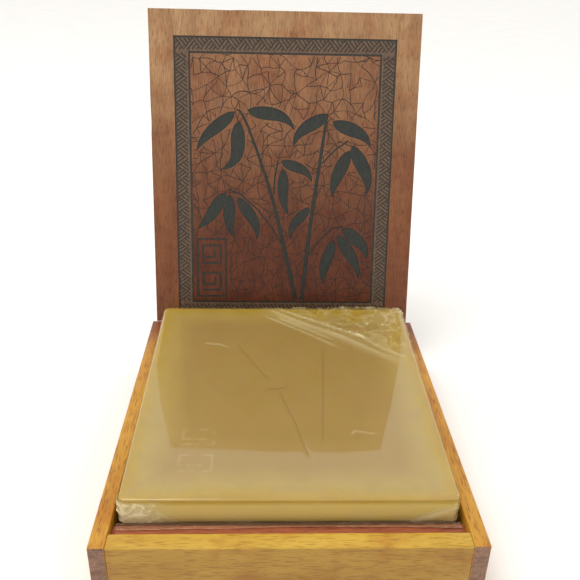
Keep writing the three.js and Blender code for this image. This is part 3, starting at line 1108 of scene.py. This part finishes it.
def hinge_leaf(direction):
    """A leaf with its knuckles. direction is 1 for the lid's leaf and -1 for the box's."""
    half, reach, corner = LEAF_HALF, LEAF_REACH, LEAF_CORNER
    far = [(half, reach - corner), (half - corner * 0.3, reach - corner * 0.3), (half - corner, reach),
           (corner - half, reach), (corner * 0.3 - half, reach - corner * 0.3), (-half, reach - corner)]
    if direction > 0:
        inner, outer = MIDDLE_KNUCKLE, half
        near = [(-outer, NOTCH), (-inner, NOTCH), (-inner, 0), (inner, 0), (inner, NOTCH), (outer, NOTCH)]
        knuckles = [(-inner, inner)]
    else:
        inner = OUTER_KNUCKLE
        near = [(-half, 0), (-inner, 0), (-inner, NOTCH), (inner, NOTCH), (inner, 0), (half, 0)]
        knuckles = [(-half, -inner), (inner, half)]
    bm = bmesh.new()
    plate = bm.faces.new([bm.verts.new(Vector((x, LEAF_BACK, direction * z)) * MM) for x, z in near + far])
    for item in bmesh.ops.extrude_face_region(bm, geom=[plate])["geom"]:
        if isinstance(item, bmesh.types.BMVert):
            item.co.y = LEAF_FRONT * MM
    rim = [e for e in bm.edges if all(v.co.y > (LEAF_FRONT - 0.01) * MM for v in e.verts)]
    bmesh.ops.bevel(bm, geom=rim, offset=LEAF_EDGE * MM, segments=2, profile=0.5, affect="EDGES")
    for start, end in knuckles:
        knuckle(bm, start, end)
    bmesh.ops.recalc_face_normals(bm, faces=bm.faces)
    return bm


def hinge_pin():
    bm = bmesh.new()
    end, radius, dome = LEAF_HALF, PIN_RADIUS, PIN_DOME
    turned(bm, [(-end, 0), (-end, radius - dome), (dome - end, radius), (end - dome, radius),
                (end, radius - dome), (end, 0)])
    bmesh.ops.recalc_face_normals(bm, faces=bm.faces)
    return bm


def screw(turn):
    """A slotted screw whose head stands out along +Y. turn is the angle of its slot."""
    bm = bmesh.new()
    left = [(-u, 0.0) for u in (1.0, 0.96, 0.86, 0.7, 0.5, 0.3)]
    slot_half = SLOT_WIDTH / 2 / SCREW_HEAD
    columns = left + [(-slot_half, 0.0), (-slot_half, SLOT_DEPTH), (slot_half, SLOT_DEPTH), (slot_half, 0.0)]
    columns += [(-u, 0.0) for u, _ in reversed(left)]
    grid = []
    for u, sunk in columns:
        chord = sqrt(1 - u * u)
        line = []
        for j in range(SCREW_STEPS + 1):
            v = chord * sin(pi / 2 * (2 * j / SCREW_STEPS - 1))
            dome = 0.15 + 0.85 * sqrt(max(0.0, 1 - u * u - v * v))
            height = max(0.03, SCREW_HEIGHT * dome - sunk)
            line.append(bm.verts.new(Vector((u * SCREW_HEAD, height, v * SCREW_HEAD)) * MM))
        grid.append(line)
    for first, second in zip(grid, grid[1:]):
        for j in range(SCREW_STEPS):
            bm.faces.new((first[j], first[j + 1], second[j + 1], second[j]))
    bmesh.ops.remove_doubles(bm, verts=bm.verts, dist=1e-7)
    ring, lower = grow(bm, [edge for edge in bm.edges if edge.is_boundary])
    for vertex in lower:
        vertex.co.y = SCREW_LIFT * MM
    bmesh.ops.contextual_create(bm, geom=ring)
    shank = bmesh.new()
    turned(shank, [(SCREW_LIFT, 0), (SCREW_LIFT, SHANK_RADIUS), (SHANK_POINT - SHANK, SHANK_RADIUS),
                   (-SHANK, 0)], sides=20)
    shank.transform(Matrix.Rotation(pi / 2, 4, "Z"))
    carried = to_mesh("shank", shank)
    bm.from_mesh(carried)
    bpy.data.meshes.remove(carried)
    bm.transform(Matrix.Rotation(turn, 4, "Y"))
    bmesh.ops.recalc_face_normals(bm, faces=bm.faces)
    return bm


def build_hinges():
    brass, steel = brass_finish("hinge_brass", 1.0), brass_finish("screw_brass", 0.86)
    draw = random.Random(SCREW_SEED)
    for side in ("left", "right"):
        low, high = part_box(f"{side}_hinge_pin")
        axis = Matrix.Translation((low + high) / 2)
        opened = axis @ Matrix.Rotation(radians(-open_angle), 4, "X")
        add_piece(f"{side}_pin", hinge_pin(), [brass], "box", f"{side}_hinge_pin", axis)
        for body, direction, place in (("box", -1, axis), ("lid", 1, opened)):
            add_piece(f"{side}_{body}_leaf", hinge_leaf(direction), [brass], body,
                      f"{side}_hinge_{body}_leaf", place)
            for i, across in enumerate(SCREW_PLACES, 1):
                spot = Matrix.Translation(Vector((across, LEAF_FRONT, direction * SCREW_REACH)) * MM)
                add_piece(f"{side}_{body}_screw_{i}", screw(draw.uniform(0, pi)), [steel], body,
                          f"{side}_hinge_{body}_screw_{i}", place @ spot)


def main():
    add_camera()
    add_floor()
    add_sky()
    add_softbox()
    scene.view_settings.view_transform = "Standard"
    scene.view_settings.look = "None"
    build_box()
    build_lid()
    build_film(build_cake())
    build_hinges()


main()
